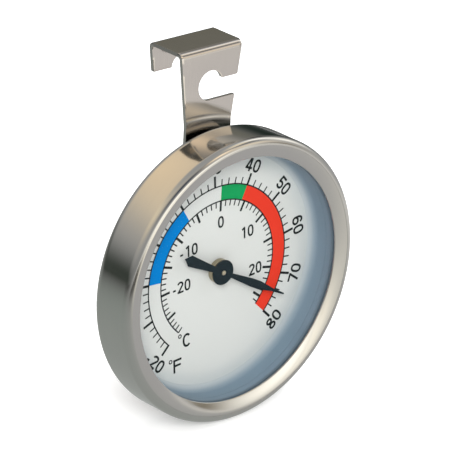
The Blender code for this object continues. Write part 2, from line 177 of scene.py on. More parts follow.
class StageSettings(bpy.types.PropertyGroup):
    """Camera, floor and light."""

    yaw: turn("Camera yaw", "How far to the reader's left the camera stands", 42.66)
    pitch: turn("Camera pitch", "How far the camera looks down", 22.44)
    roll: turn("Camera roll", "Turn of the camera about its own line of sight", 3.03)
    distance: length("Camera distance", "Depth of the dial's middle in front of the camera", 0.85215)
    across: length("Across", "Place of the dial's middle right of the picture's middle", -0.001647, -1.0)
    down: length("Down", "Place of the dial's middle below the picture's middle", 0.009463, -1.0)
    lens: bpy.props.FloatProperty(
        name="Lens", description="Focal length on a 36 mm sensor", default=321.6, min=1.0, unit="CAMERA"
    )
    floor: colour("Floor", "Colour of the pale floor", (0.82, 0.82, 0.82))


# Shapes as arrays


def rounded(corners, steps=8):
    """An outline of (radius, depth, rounding) corners, each replaced by an arc.

    An arc's centre lies on the corner's bisector, the rounding over the sine of half the corner's angle
    away. Its ends lie on the two sides, the rounding over the tangent of that half angle away.
    """
    places = np.array([c[:2] for c in corners], float)
    pieces = []
    for k, corner in enumerate(corners):
        here = places[k]
        if corner[2] == 0:
            pieces.append(here[None])
            continue
        back = places[k - 1] - here
        ahead = places[(k + 1) % len(places)] - here
        back = back / np.linalg.norm(back)
        ahead = ahead / np.linalg.norm(ahead)
        half = math.acos(float(np.clip(back @ ahead, -1, 1))) / 2
        middle = here + (back + ahead) / np.linalg.norm(back + ahead) * corner[2] / math.sin(half)
        start = here + back * corner[2] / math.tan(half) - middle
        end = here + ahead * corner[2] / math.tan(half) - middle
        first = math.atan2(start[1], start[0])
        sweep = (math.atan2(end[1], end[0]) - first + math.pi) % (2 * math.pi) - math.pi
        angle = first + sweep * np.linspace(0, 1, steps + 1)
        pieces.append(middle + corner[2] * np.stack([np.cos(angle), np.sin(angle)], 1))
    return np.concatenate(pieces)


def grid_faces(rows, columns, wrap_rows=False, wrap_columns=False):
    """Quads of a grid of points numbered row by row, from each point to its neighbours below and right."""
    i, j = np.meshgrid(
        np.arange(rows if wrap_rows else rows - 1),
        np.arange(columns if wrap_columns else columns - 1),
        indexing="ij",
    )
    below = (i + 1) % rows
    right = (j + 1) % columns
    quads = [i * columns + j, below * columns + j, below * columns + right, i * columns + right]
    return np.stack(quads, -1).reshape(-1, 4)


def turned(outline, closed=True, steps=240, middle=(0.0, None)):
    """Points and quads of an outline spun about a line along Y.

    At an angle a, a point is at x = r sin a, y = face - depth and z = axis + r cos a.
    """
    across, height = middle
    angle = np.linspace(0, 2 * math.pi, steps, endpoint=False)
    radius, depth = outline.T
    x = across + np.outer(np.sin(angle), radius)
    z = (AXIS_HEIGHT if height is None else height) + np.outer(np.cos(angle), radius)
    y = np.broadcast_to(DIAL_FACE - depth, x.shape)
    return np.stack([x, y, z], -1).reshape(-1, 3), grid_faces(steps, len(outline), True, closed)


def flat_ring(inner, outer, back, front):
    """The outline of a flat ring, or of a disc where its inner radius is 0."""
    return np.array([[inner, back], [outer, back], [outer, front], [inner, front]])


def bar(path, width, low, high, closed=False):
    """A flat bar along a path of (x, y) points.

    Each point gives four corners, half the width to either side along the path's normal, at two heights.
    """
    path = np.asarray(path, float)
    if closed:
        along = np.roll(path, -1, 0) - np.roll(path, 1, 0)
    else:
        along = np.gradient(path, axis=0)
    along = along / np.linalg.norm(along, axis=1, keepdims=True)
    out = np.stack([-along[:, 1], along[:, 0]], 1) * width / 2
    level = np.ones((len(path), 1))
    corners = [
        np.hstack([path - out, low * level]),
        np.hstack([path + out, low * level]),
        np.hstack([path + out, high * level]),
        np.hstack([path - out, high * level]),
    ]
    points = np.stack(corners, 1).reshape(-1, 3)
    quads = grid_faces(len(path), 4, closed, True)
    if not closed:
        last = 4 * len(path) - 4
        caps = np.array([[0, 1, 2, 3], [last + 3, last + 2, last + 1, last]])
        quads = np.concatenate([quads, caps])
    return points, quads


def joined(parts):
    """Several (points, quads) as one, with each part's numbers moved past those before it."""
    starts = np.cumsum([0] + [len(points) for points, _ in parts[:-1]])
    points = np.concatenate([points for points, _ in parts])
    return points, np.concatenate([quads + start for (_, quads), start in zip(parts, starts)])


def on_dial(points, tilt):
    """(x, y, height) of the print, turned by the dial's tilt and stood up in the model's frame."""
    x, y, height = points.T
    across = x * math.cos(tilt) + y * math.sin(tilt)
    up = y * math.cos(tilt) - x * math.sin(tilt)
    return np.stack([across, DIAL_FACE - height, AXIS_HEIGHT + up], 1)


def piece(name, shape, materials, body, nodes=(), outward=True, sharp=35):
    """Make one object of points, quads and perhaps material numbers, with its poles and seams merged.

    It rides on a body with a material slot, and takes the place of the named nodes.
    """
    points, quads = shape[:2]
    mesh = bpy.data.meshes.new(name)
    mesh.from_pydata(points.tolist(), [], quads.tolist())
    for material in materials:
        mesh.materials.append(material)
    if len(shape) > 2:
        mesh.polygons.foreach_set("material_index", np.asarray(shape[2], np.int32))
    work = bmesh.new()
    work.from_mesh(mesh)
    bmesh.ops.remove_doubles(work, verts=work.verts, dist=MERGE_DISTANCE)
    bmesh.ops.dissolve_degenerate(work, edges=work.edges, dist=SLIVER_LENGTH)
    if outward:
        bmesh.ops.recalc_face_normals(work, faces=work.faces)
    work.to_mesh(mesh)
    work.free()
    mesh.shade_smooth()
    mesh.set_sharp_from_angle(angle=math.radians(sharp))
    made = bpy.data.objects.new(name, mesh)
    bpy.context.scene.collection.objects.link(made)
    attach(made, body)
    if nodes:
        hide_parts(*nodes)
    return made


# Shader nodes


def add(tree, kind, inputs=None, **settings):
    """Add a shader node. Its inputs go by name or number, each with a value or the socket that feeds it."""
    made = tree.nodes.new("ShaderNode" + kind)
    for name, value in settings.items():
        setattr(made, name, value)
    for name, value in (inputs or {}).items():
        if isinstance(value, bpy.types.NodeSocket):
            tree.links.new(value, made.inputs[name])
        else:
            made.inputs[name].default_value = value
    return made


def maths(tree, operation, *values, **settings):
    """The result of a Math node."""
    return add(tree, "Math", dict(enumerate(values)), operation=operation, **settings).outputs[0]


def vector(tree, operation, *values):
    """The result of a Vector Math node: a number for a length or a distance, else a vector."""
    made = add(tree, "VectorMath", dict(enumerate(values)), operation=operation)
    return made.outputs["Value" if operation in ("LENGTH", "DISTANCE") else "Vector"]


def group_tree(name, inputs, outputs):
    """A new shader node group with its sockets: (label, type, default) in, (label, type) out."""
    tree = bpy.data.node_groups.new(name, "ShaderNodeTree")
    for label, kind, default in inputs:
        socket = tree.interface.new_socket(label, in_out="INPUT", socket_type=kind)
        if default is not None:
            socket.default_value = default
    for label, kind in outputs:
        tree.interface.new_socket(label, in_out="OUTPUT", socket_type=kind)
    return tree, tree.nodes.new("NodeGroupInput").outputs, tree.nodes.new("NodeGroupOutput").inputs


def placed(tree, group, inputs):
    """The outputs of a node group that is placed in a material with its own values."""
    return add(tree, "Group", inputs, node_tree=bpy.data.node_groups[group]).outputs


FLOAT = "NodeSocketFloat"
VECTOR = "NodeSocketVector"
LINE_OUTPUTS = [("Lines", FLOAT), ("Patches", FLOAT)]
FINE_NOISE = {"Scale": 1.0, "Detail": 3.0, "Roughness": 0.6}


def soft_patches(tree, place, scale):
    """Broad soft noise that varies a finish from place to place."""
    noise = {"Vector": place, "Scale": scale, "Detail": 2.0, "Roughness": 0.5}
    return add(tree, "TexNoise", noise).outputs[0]


def make_turned_lines():
    """Fine lines round the dial's axis: noise that is fast over radius and depth and slow round the turn."""
    inputs = [("Position", VECTOR, None), ("Lines per mm", FLOAT, 5.0), ("Turn", FLOAT, 1.5)]
    tree, given, result = group_tree("turned_lines", inputs, LINE_OUTPUTS)
    moved = vector(tree, "ADD", given["Position"], (0, -DIAL_FACE, -AXIS_HEIGHT))
    flat = vector(tree, "MULTIPLY", moved, (1, 0, 1))
    unit = vector(tree, "NORMALIZE", flat)
    around = add(tree, "VectorMath", {0: unit, "Scale": given["Turn"]}, operation="SCALE")
    split = add(tree, "SeparateXYZ", {0: around.outputs[0]}).outputs
    depth = add(tree, "SeparateXYZ", {0: moved}).outputs["Y"]
    pace = maths(tree, "MULTIPLY", given["Lines per mm"], 1 / MM)
    fast = maths(tree, "MULTIPLY", vector(tree, "LENGTH", flat), pace)
    deep = maths(tree, "MULTIPLY", depth, pace)
    place = add(tree, "CombineXYZ", {"X": fast, "Y": split["X"], "Z": split["Z"]}).outputs[0]
    lines = add(tree, "TexNoise", {"Vector": place, "W": deep, **FINE_NOISE}, noise_dimensions="4D")
    tree.links.new(lines.outputs[0], result["Lines"])
    tree.links.new(soft_patches(tree, moved, 140.0), result["Patches"])


def make_drawn_lines():
    """Fine lines along the strap: noise that is fast across its width and slow along its length."""
    inputs = [("Position", VECTOR, None), ("Lines per mm", FLOAT, 5.0), ("Along", FLOAT, 0.06)]
    tree, given, result = group_tree("drawn_lines", inputs, LINE_OUTPUTS)
    pace = maths(tree, "MULTIPLY", given["Lines per mm"], 1 / MM)
    slow = maths(tree, "MULTIPLY", pace, given["Along"])
    scale = add(tree, "CombineXYZ", {"X": pace, "Y": slow, "Z": slow}).outputs[0]
    place = vector(tree, "MULTIPLY", given["Position"], scale)
    lines = add(tree, "TexNoise", {"Vector": place, **FINE_NOISE})
    tree.links.new(lines.outputs[0], result["Lines"])
    tree.links.new(soft_patches(tree, given["Position"], 160.0), result["Patches"])


def make_grain():
    """Even fine grain for paint, ink, plastic and the rivets, with broad soft patches over it."""
    inputs = [("Position", VECTOR, None), ("Grains per mm", FLOAT, 4.0)]
    tree, given, result = group_tree("grain", inputs, LINE_OUTPUTS)
    pace = maths(tree, "MULTIPLY", given["Grains per mm"], 1 / MM)
    fine = {"Vector": given["Position"], "Scale": pace, "Detail": 2.0, "Roughness": 0.55}
    tree.links.new(add(tree, "TexNoise", fine).outputs[0], result["Lines"])
    tree.links.new(soft_patches(tree, given["Position"], 180.0), result["Patches"])


def new_material(name):
    """An empty node material, with its tree, its Principled shader and the Object coordinates."""
    material = bpy.data.materials.new(name)
    material.use_nodes = True
    tree = material.node_tree
    shader = tree.nodes["Principled BSDF"]
    position = add(tree, "TexCoord").outputs["Object"]
    return material, tree, shader, position


# Sockets of a Mix node that mixes colours
MIX_FACTOR, MIX_FIRST, MIX_SECOND, MIX_RESULT = 0, 6, 7, 2

# How little a polished steel varies
POLISHED = {"spread": 0.05, "rough_spread": 0.03, "bump": 0.04}


def worked(name, group, inputs, tint, roughness, metallic, spread=0.08, rough_spread=0.08, bump=0.1,
           height=0.012, gloss=0.5):
    """A finish whose colour, roughness and surface all follow one of the line or grain groups.

    With the mean of lines and patches the colour goes from a darker to a lighter tint and the roughness
    rises. The lines are raised by a height in millimetres.
    """
    material, tree, shader, position = new_material(name)
    found = placed(tree, group, {"Position": position, **inputs})
    mean = maths(tree, "MULTIPLY", maths(tree, "ADD", found["Lines"], found["Patches"]), 0.5)
    dark = [c * (1 - spread) for c in tint]
    light = [min(c * (1 + spread), 1.0) for c in tint]
    tints = {MIX_FACTOR: mean, MIX_FIRST: (*dark, 1), MIX_SECOND: (*light, 1)}
    blend = add(tree, "Mix", tints, data_type="RGBA")
    tree.links.new(blend.outputs[MIX_RESULT], shader.inputs["Base Color"])
    limits = {
        "From Min": 0.25,
        "From Max": 0.75,
        "To Min": max(roughness - rough_spread, 0.02),
        "To Max": roughness + rough_spread,
    }
    rough = add(tree, "MapRange", {"Value": mean, **limits})
    tree.links.new(rough.outputs[0], shader.inputs["Roughness"])
    raised = add(tree, "Bump", {"Strength": bump, "Distance": height * MM, "Height": found["Lines"]})
    tree.links.new(raised.outputs[0], shader.inputs["Normal"])
    shader.inputs["Metallic"].default_value = metallic
    shader.inputs["Specular IOR Level"].default_value = gloss
    return material


def turned_metal(name, lines, around, tint, roughness, **more):
    """Metal with fine lines round the dial's axis."""
    pace = {"Lines per mm": lines, "Turn": around}
    return worked(name, "turned_lines", pace, tint, roughness, 1.0, **more)


def drawn_metal(name, lines, tint, roughness, **more):
    """Metal with fine lines along its length."""
    pace = {"Lines per mm": lines, "Along": 0.05}
    return worked(name, "drawn_lines", pace, tint, roughness, 1.0, **more)


def grained(name, grains, tint, roughness, metallic=0.0, **more):
    """Paint, ink, plastic or plain metal with an even fine grain."""
    return worked(name, "grain", {"Grains per mm": grains}, tint, roughness, metallic, **more)


def ramp(tree, value, stops):
    """A colour that runs through (place, tint) stops as a value goes from 0 to 1."""
    made = add(tree, "ValToRGB", {"Fac": value})
    elements = made.color_ramp.elements
    while len(elements) < len(stops):
        elements.new(0.5)
    for element, (place, tint) in zip(elements, stops):
        element.position = place
        element.color = (*tint, 1)
    return made.outputs["Color"]


def shade_edge(material, start, end, tint):
    """Multiply a round plate's colour by painted shade: a tint that comes in between two radii about the
    dial's axis, darkening the plate towards the wall.
    """
    tree = material.node_tree
    shader = tree.nodes["Principled BSDF"]
    own = shader.inputs["Base Color"].links[0].from_socket
    position = add(tree, "TexCoord").outputs["Object"]
    moved = vector(tree, "ADD", position, (0, 0, -AXIS_HEIGHT))
    radius = vector(tree, "LENGTH", vector(tree, "MULTIPLY", moved, (1, 0, 1)))
    far = add(tree, "MapRange", {"Value": radius, "From Min": start, "From Max": end})
    fade = ramp(tree, far.outputs[0], [(0.0, (1, 1, 1)), (1.0, tint)])
    tree.links.new(vector(tree, "MULTIPLY", own, fade), shader.inputs["Base Color"])


def graded_wall(wall, foot):
    """The half-rough wall between window and dial: blue-grey, with painted light at its foot and painted
    shade under the bezel.

    Its colour follows the height over the dial, and a trace of lines round the axis lies over it.
    """
    def between(part):
        return [f + (w - f) * part for f, w in zip(foot, wall)]

    material, tree, shader, position = new_material("window_wall_painted_light")
    found = placed(tree, "turned_lines", {"Position": position, "Lines per mm": 2.0, "Turn": 6.0})
    wall_height = 6.4 * MM
    depth = add(tree, "SeparateXYZ", {0: position}).outputs["Y"]
    limits = {"From Min": DIAL_FACE, "From Max": DIAL_FACE - wall_height}
    height = add(tree, "MapRange", {"Value": depth, **limits})
    # Painted light and shade by height: the foot is mixed towards the dial's colour as painted light bounced
    # from the dial, and the top is darkened as painted shade under the bezel.
    stops = [(0.0, between(0.42)), (0.05, between(0.6)), (0.1, between(0.78)), (0.17, between(0.9))]
    stops += [(0.3, wall), (0.86, [c * 0.9 for c in wall]), (0.96, [c * 0.55 for c in wall])]
    tree.links.new(ramp(tree, height.outputs[0], stops), shader.inputs["Base Color"])
    rough = add(tree, "MapRange", {"Value": found["Lines"], "To Min": 0.35, "To Max": 0.55})
    tree.links.new(rough.outputs[0], shader.inputs["Roughness"])
    shader.inputs["Specular IOR Level"].default_value = 0.25
    raised = add(tree, "Bump", {"Strength": 0.05, "Distance": 0.01 * MM, "Height": found["Lines"]})
    tree.links.new(raised.outputs[0], shader.inputs["Normal"])
    return material


def window_glass():
    """A thin clear pane: what lies behind it shows straight through, with a faint mirror on its outer side.

    Rays pass it without bending, so its inner side has no mirror: at a low angle that would hold them in
    the pane.
    """
    material, tree, shader, _ = new_material("window_glass")
    shader.inputs["Base Color"].default_value = (0.9, 0.95, 1.0, 1)
    shader.inputs["Metallic"].default_value = 1.0
    shader.inputs["Roughness"].default_value = 0.03
    clear = add(tree, "BsdfTransparent", {"Color": (0.985, 0.992, 0.992, 1)})
    mirror = add(tree, "Fresnel", {"IOR": 1.04}).outputs[0]
    inner = add(tree, "NewGeometry").outputs["Backfacing"]
    outer = maths(tree, "SUBTRACT", mirror, inner, use_clamp=True)
    mix = add(tree, "MixShader", {0: outer, 1: clear.outputs[0], 2: shader.outputs[0]})
    tree.links.new(mix.outputs[0], tree.nodes["Material Output"].inputs["Surface"])
    return material


# Operators, one for each group of pieces


class ThermometerOperator:
    """What all the operators share: each can be undone."""

    bl_options = {"REGISTER", "UNDO"}


class BuildFinishes(ThermometerOperator, bpy.types.Operator):
    """Make the node groups that the finishes share."""

    bl_idname = "thermometer.build_finishes"
    bl_label = "Shared finishes"

    def execute(self, context):
        make_turned_lines()
        make_drawn_lines()
        make_grain()
        return {"FINISHED"}


class BuildCase(ThermometerOperator, bpy.types.Operator):
    """Build the case: a drawn cup with a raised back panel and a rim rolled in over the bezel."""

    bl_idname = "thermometer.build_case"
    bl_label = "Case"

    def execute(self, context):
        case = context.scene.thermometer_case
        back, front = span("rear_case")
        outside = case.radius
        inside = outside - case.wall
        mouth = outside - case.bead
        ledge = back + case.ledge
        lean = case.wall * math.tan(math.radians(45) / 2)
        soft = 0.5 * MM
        roll = 0.96 * case.bead
        crisp = 0.012 * case.bead
        corners = [
            (0, back, 0),
            (case.panel, back, soft),
            (case.panel + case.ledge, ledge, soft),
            (outside, ledge, case.corner),
            (outside, front, roll),
            (mouth, front, crisp),
            (mouth, front - case.wall, 0),
            (inside, front - case.wall, case.bead - case.wall),
            (inside, ledge + case.wall, case.corner - case.wall),
            (case.panel + case.ledge - lean, ledge + case.wall, 0),
            (case.panel - lean, back + case.wall, 0),
            (0, back + case.wall, 0),
        ]
        steel = turned_metal("case_steel", 3.0, 2.0, case.steel, case.polish, **POLISHED)
        shape = turned(rounded(corners, 12), closed=False, steps=288)
        piece("case_shell", shape, [steel], FIXED, ["rear_case"])
        return {"FINISHED"}


class BuildBezel(ThermometerOperator, bpy.types.Operator):
    """Build the bezel: a shallow cone ring from the window out to the rim, with a flange under the rim."""

    bl_idname = "thermometer.build_bezel"
    bl_label = "Bezel"

    def execute(self, context):
        case = context.scene.thermometer_case
        under, crest = span("bezel_ring")
        mouth = case.radius - case.bead
        opening = mouth - case.bezel_width
        shoulder = mouth - case.seam
        outside = reach("bezel_ring")
        undercut = 0.6 * MM
        flange = under + 0.5 * MM
        flange_top = flange + 0.3 * MM
        inside = shoulder - case.wall
        slope = case.bezel_rise / (shoulder - opening)
        corners = [
            (opening + undercut, under, 0.1 * MM),
            (opening, crest - case.bezel_rise, 0.2 * MM),
            (shoulder, crest, 0.02 * MM),
            (shoulder, flange_top, 0),
            (outside, flange_top, 0),
            (outside, flange, 0),
            (inside, flange, 0),
            (inside, under + slope * (inside - opening), 0),
        ]
        steel = turned_metal("bezel_steel", 4.0, 2.0, case.steel, case.bezel_polish, **POLISHED)
        piece("bezel", turned(rounded(corners), steps=288), [steel], FIXED, ["bezel_ring"])
        return {"FINISHED"}


class BuildWindow(ThermometerOperator, bpy.types.Operator):
    """Build the gasket, the clear window and the coved spacer between window and dial."""

    bl_idname = "thermometer.build_window"
    bl_label = "Window"

    def execute(self, context):
        case = context.scene.thermometer_case
        dial = context.scene.thermometer_dial
        opening = case.radius - case.bead - case.bezel_width
        lip = opening + 0.1 * MM
        back, front = span("lens_gasket")
        seat = reach("lens_gasket")
        close = 0.12 * MM
        gasket = [(lip, back - close, 0), (seat, back, 0), (seat, front, 0), (lip, front + close, 0.1 * MM)]
        # Gasket, the pane's ground rim and spacer share this wall finish. The spacer's foot carries its
        # painted light from the dial, and the gasket its painted shade under the bezel.
        wall_painted_light = graded_wall(dial.wall, dial.plate)
        piece("window_gasket", turned(rounded(gasket)), [wall_painted_light], FIXED, ["lens_gasket"])

        back, front = span("lens")
        edge = lip + 0.02 * MM
        clear = turned(flat_ring(0, lip, back, front), closed=False, steps=180)
        ground = turned(flat_ring(edge, reach("lens"), back, front), steps=180)
        points, quads = joined([clear, ground])
        slots = np.repeat([0, 1], [len(clear[1]), len(ground[1])])
        piece("window_pane", (points, quads, slots), [window_glass(), wall_painted_light], FIXED, ["lens"])

        back, front = span("spacer_ring")
        angle = np.radians(np.linspace(0, -75, 16))
        rise = np.sin(angle) - math.sin(angle[-1])
        tuck = 0.5 * MM
        foot_gap = 0.01 * MM
        foot = np.stack([lip - dial.cove * (1 - np.cos(angle)), foot_gap + dial.cove * rise], 1)
        wall = np.array([[seat, back], [seat, front], [lip, front + close]])
        outline = np.concatenate([wall, foot, [[foot[-1, 0] + tuck, foot_gap / 2]]])
        piece("dial_spacer", turned(outline), [wall_painted_light], FIXED, ["spacer_ring"])
        return {"FINISHED"}


class BuildDial(ThermometerOperator, bpy.types.Operator):
    """Build the enamelled dial plate, with painted shade towards its edge."""

    bl_idname = "thermometer.build_dial"
    bl_label = "Dial plate"

    def execute(self, context):
        dial = context.scene.thermometer_dial
        back, front = span("dial_plate")
        hole = 1.65 * MM
        # Painted shade: between these radii the enamel darkens and turns bluish towards the wall.
        shade_start, shade_end = 22.5 * MM, 26.2 * MM
        shade = (0.84, 0.87, 0.89)
        enamel = grained(
            "dial_enamel", 3.0, dial.plate, 0.42, spread=0.012, rough_spread=0.06, bump=0.05, height=0.006,
            gloss=0.2,
        )
        shade_edge(enamel, shade_start, shade_end, shade)
        shape = turned(flat_ring(hole, reach("dial_plate"), back, front), steps=180)
        piece("dial_face", shape, [enamel], FIXED, ["dial_plate"])
        return {"FINISHED"}


# Figures as strokes


def bow(x, y, wide, high, start, end, power=2.5, steps=28):
    """A squarish arc: x and y follow the angle's cosine and sine, each to the power of two over power."""
    angle = np.radians(np.linspace(start, end, steps))
    c = np.cos(angle)
    s = np.sin(angle)
    across = np.sign(c) * np.abs(c) ** (2 / power)
    up = np.sign(s) * np.abs(s) ** (2 / power)
    return np.stack([x + wide * across, y + high * up], 1)


def line(*points):
    """Straight stretches through points, each cut into a few steps."""
    ends = np.array(points, float)
    steps = np.linspace(0, 1, 5)[:, None]
    return np.concatenate([a + (b - a) * steps for a, b in zip(ends, ends[1:])])


def figure(sign, width, stroke):
    """The strokes of one figure, one unit high and centred on x, as (path, closed) pairs."""
    h = stroke / 2
    a = width / 2 - h
    full = width / 2
    drawn = {
        "0": [(bow(0, 0.5, a, 0.5 - h, 0, 350, steps=48), True)],
        "1": [(line((0.08, 0), (0.08, 1)), False), (line((0.08, 0.93), (-0.17, 0.79)), False)],
        "2": [
            (np.concatenate([bow(0, 0.73, a, 0.27 - h, 172, -28, 2.1), [[-0.95 * a, h]]]), False),
            (line((-full, h), (full, h)), False),
        ],
        "3": [
            (bow(0, 0.745, a * 0.92, 0.255 - h, 160, -88, 2.1), False),
            (bow(0, 0.27, a, 0.27 - h, 88, -160, 2.1), False),
        ],
        "4": [
            (line((0.42 * a, 0), (0.42 * a, 1)), False),
            (line((0.42 * a - h, 0.96), (-a, 0.27)), False),
            (line((-full, 0.26), (full, 0.26)), False),
        ],
        "5": [
            (line((0.9 * full, 1 - h), (-0.72 * full, 1 - h)), False),
            (line((-0.7 * a, 1), (-0.85 * a, 0.46)), False),
            (bow(0, 0.325, a, 0.325 - h, 152, -158, 2.1), False),
        ],
        "6": [
            (bow(0, 0.32, a, 0.32 - h, 0, 350, 2.1, 40), True),
            (bow(0, 0.42, a, 0.58 - h, 182, 38, 2.3), False),
        ],
        "7": [(line((-full, 1 - h), (full, 1 - h)), False), (line((a, 1 - h), (-0.3 * a, 0)), False)],
        "8": [
            (bow(0, 0.745, a * 0.86, 0.255 - h, 0, 350, 2.1, 40), True),
            (bow(0, 0.27, a, 0.27 - h, 0, 350, 2.1, 40), True),
        ],
        "-": [(line((-0.13, 0.37), (0.16, 0.37)), False)],
        "F": [
            (line((-a, 0), (-a, 1)), False),
            (line((-a, 1 - h), (full, 1 - h)), False),
            (line((-a, 0.53), (0.8 * full, 0.53)), False),
        ],
        "C": [(bow(0, 0.5, a, 0.5 - h, 42, 318, 2.2, 40), False)],
        "o": [(bow(0, 0.96, 0.12, 0.12, 0, 350, 2.0, 24), True)],
    }
    return drawn[sign]


def lettering(text, middle, turned_by, style, low, high):
    """Bars for a row of figures, centred on a point of the dial and turned clockwise.

    The style is the figures' height, width, stroke and pitch.
    """
    height, width, stroke, pitch = style
    weights = {"-": 0.78, "o": 0.62}
    steps = np.array([weights.get(sign, 1.0) for sign in text]) * pitch
    centres = np.cumsum(steps) - steps / 2 - steps.sum() / 2
    c = math.cos(turned_by)
    s = math.sin(turned_by)
    bars = []
    for sign, centre in zip(text, centres):
        fine = stroke * (0.5 if sign == "o" else 1.0)
        for path, closed in figure(sign, width / height, fine / height):
            x = path[:, 0] * height + centre
            y = (path[:, 1] - 0.5) * height
            where = np.stack([middle[0] + x * c + y * s, middle[1] - x * s + y * c], 1)
            bars.append(bar(where, fine, low, high, closed))
    return bars


# The printed scale: its ends and middle in degrees Fahrenheit, and its angles in degrees
SCALE_START, SCALE_END = -20, 80
SCALE_MIDDLE = 43.45
MIDDLE_ANGLE = 37.05
DEGREE_STEP = 2.797
NARROWING = 2.88e-5
COLDEST_CELSIUS, WARMEST_CELSIUS = -29, 26

# Lengths of the long and the short marks on the outer and the inner line
OUTER_MARKS = (2.6 * MM, 1.5 * MM)
INNER_MARKS = (2.4 * MM, 1.4 * MM)

# Height, width, stroke and pitch of the figures
OUTER_FIGURES = (2.95 * MM, 2.0 * MM, 0.5 * MM, 2.25 * MM)
INNER_FIGURES = (2.7 * MM, 1.65 * MM, 0.43 * MM, 1.95 * MM)
UNIT_SIGNS = (3.2 * MM, 2.3 * MM, 0.5 * MM, 2.35 * MM)

# Millimetres across and up: of the inner figures from their ring, and of the unit signs from the middle
INNER_RING = 10.75 * MM
INNER_SHIFTS = {-20: (0.6, 0.0), -10: (-0.3, -0.6), 0: (0.3, 0.1), 10: (-0.3, 0.1), 20: (0.4, -0.3)}
UNIT_PLACES = {"oC": (-9.65, -13.6), "oF": (-12.4, -18.75)}


def outer_stand(degrees):
    """The radius of a Fahrenheit figure's ring, and its shift across and up in millimetres."""
    if degrees == SCALE_START:
        return 24.0 * MM, (-0.4, 0.6)
    if degrees <= 0:
        return 24.7 * MM, (0.0, 0.0)
    return 23.45 * MM, (0.1, 0.1) if degrees >= 70 else (-0.15, 0.2)


def scale_angle(fahrenheit):
    """Where a temperature lies on the dial, clockwise from its top.

    It is the middle's angle, plus a step for each degree from the middle, less a narrowing that grows with
    the cube of that distance.
    """
    away = np.asarray(fahrenheit, float) - SCALE_MIDDLE
    return np.radians(MIDDLE_ANGLE + DEGREE_STEP * away - NARROWING * away**3)


def under_celsius(celsius):
    """The Fahrenheit reading beside a Celsius mark: 30 + 1.01 (1.8 C + 2), a hundredth wide of the truth."""
    return 30 + 1.01 * (1.8 * np.asarray(celsius, float) + 2)


def beside(angle, radius, shift):
    """A place on the dial: out along an angle by a radius, then across and up by millimetres."""
    across, up = shift
    return radius * math.sin(angle) + across * MM, radius * math.cos(angle) + up * MM


def ring_path(radius, start, end, steps=160):
    """Points along a circle between two temperatures."""
    angle = scale_angle(np.linspace(start, end, steps))
    return np.stack([radius * np.sin(angle), radius * np.cos(angle)], 1)


def marks(degrees, inner, outer, width, low, high):
    """One radial bar for each temperature."""
    bars = []
    for angle in np.atleast_1d(scale_angle(degrees)):
        way = np.array([math.sin(angle), math.cos(angle)])
        bars.append(bar([way * inner, way * outer], width, low, high))
    return bars


class BuildScale(ThermometerOperator, bpy.types.Operator):
    """Print the dial: two scale lines with marks and figures, and three coloured bands between them."""

    bl_idname = "thermometer.build_scale"
    bl_label = "Printed scales"

    def execute(self, context):
        dial = context.scene.thermometer_dial
        self.bands(dial)
        self.figures(dial)
        return {"FINISHED"}

    def bands(self, dial):
        """Three bars midway between the scale lines, each from one temperature to another."""
        lift = 0.002 * MM
        middle = (dial.outer_line + dial.inner_line) / 2
        width = dial.outer_line - dial.inner_line
        prints = [
            ("band_cold", dial.cold, 0, 20),
            ("band_cool", dial.cool, 32, 40),
            ("band_warm", dial.warm, 40, SCALE_END),
        ]
        bands = []
        inks = []
        for name, tint, start, end in prints:
            bands.append(bar(ring_path(middle, start, end), width, lift, dial.ink_rise))
            inks.append(grained(name, 5.0, tint, 0.45, spread=0.06, bump=0.04, gloss=0.03))
        points, quads = joined(bands)
        numbers = np.repeat(np.arange(len(bands)), [len(faces) for _, faces in bands])
        piece("scale_bands", (on_dial(points, dial.tilt), quads, numbers), inks, FIXED)

    def figures(self, dial):
        """Both scale lines with their marks, figures and unit signs, in one ink over the bands."""
        low = dial.ink_rise * 0.6
        high = dial.ink_rise * 1.6
        outer = dial.outer_line
        inner = dial.inner_line
        thin = dial.line_width
        bold = dial.mark_width
        tens = np.arange(SCALE_START, SCALE_END + 1, 10)
        twos = np.setdiff1d(np.arange(SCALE_START, SCALE_END + 1, 2), tens)
        fives = np.arange(-25, WARMEST_CELSIUS, 5)
        ones = np.setdiff1d(np.arange(COLDEST_CELSIUS, WARMEST_CELSIUS + 1), fives)
        inner_start = under_celsius(COLDEST_CELSIUS)
        bars = [
            bar(ring_path(outer, SCALE_START, SCALE_END, 300), thin, low, high),
            bar(ring_path(inner, inner_start, SCALE_END, 300), thin, low, high),
            *marks(tens, outer - thin / 2, outer + OUTER_MARKS[0], bold, low, high),
            *marks(twos, outer, outer + OUTER_MARKS[1], thin, low, high),
            *marks(under_celsius(fives), inner - INNER_MARKS[0], inner + thin / 2, bold, low, high),
            *marks(under_celsius(ones), inner - INNER_MARKS[1], inner, thin, low, high),
        ]
        for degrees in tens:
            angle = float(scale_angle(degrees))
            flipped = abs(angle) > math.radians(100)
            upright = angle - math.copysign(math.pi, angle) if flipped else angle
            place = beside(angle, *outer_stand(degrees))
            bars += lettering(str(degrees), place, upright, OUTER_FIGURES, low, high)
        for degrees, shift in INNER_SHIFTS.items():
            place = beside(float(scale_angle(under_celsius(degrees))), INNER_RING, shift)
            bars += lettering(str(degrees), place, 0.0, INNER_FIGURES, low, high)
        for text, shift in UNIT_PLACES.items():
            bars += lettering(text, beside(0.0, 0.0, shift), 0.0, UNIT_SIGNS, low, high)
        points, quads = joined(bars)
        ink = grained("scale_ink", 5.0, dial.ink, 0.4, spread=0.15, bump=0.04, gloss=0.1)
        piece("scale_print", (on_dial(points, dial.tilt), quads), [ink], FIXED)


